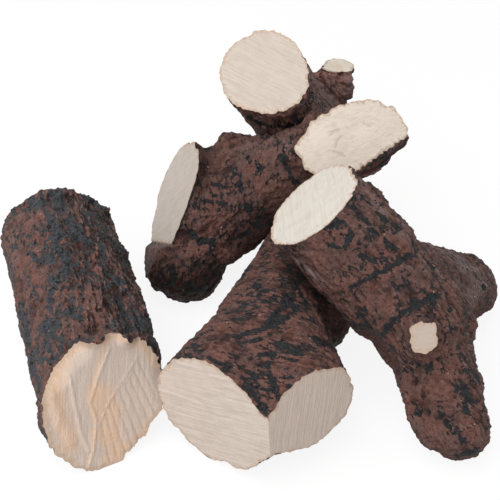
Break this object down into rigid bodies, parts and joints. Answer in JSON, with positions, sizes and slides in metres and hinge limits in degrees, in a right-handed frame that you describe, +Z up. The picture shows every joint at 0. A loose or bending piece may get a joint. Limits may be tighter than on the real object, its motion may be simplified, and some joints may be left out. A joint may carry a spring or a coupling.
{
  "type": "ceramic log set",
  "caption": "Stack of loose cast ceramic firewood logs with painted bark and sawn ends, which rests on a hearth, grate or burner for a gas fire's flames to pass between.",
  "frame": {"origin": "middle of the set's outline seen from above, on the hearth that the logs stand on", "axes": "+X to the right of someone facing the fire, +Y away from them, +Z up"},
  "size_m": [0.3156, 0.3044, 0.1425],
  "materials": {
    "painted_ceramic": "matte painted refractory ceramic: dark red-brown bark with black flecks, cream sawn faces"
  },
  "bodies": {
    "root": {"left_split_log": "painted_ceramic", "front_forked_log": "painted_ceramic", "back_crooked_log": "painted_ceramic", "top_leaning_log": "painted_ceramic", "right_branched_log": "painted_ceramic"}
  },
  "joints": []
}
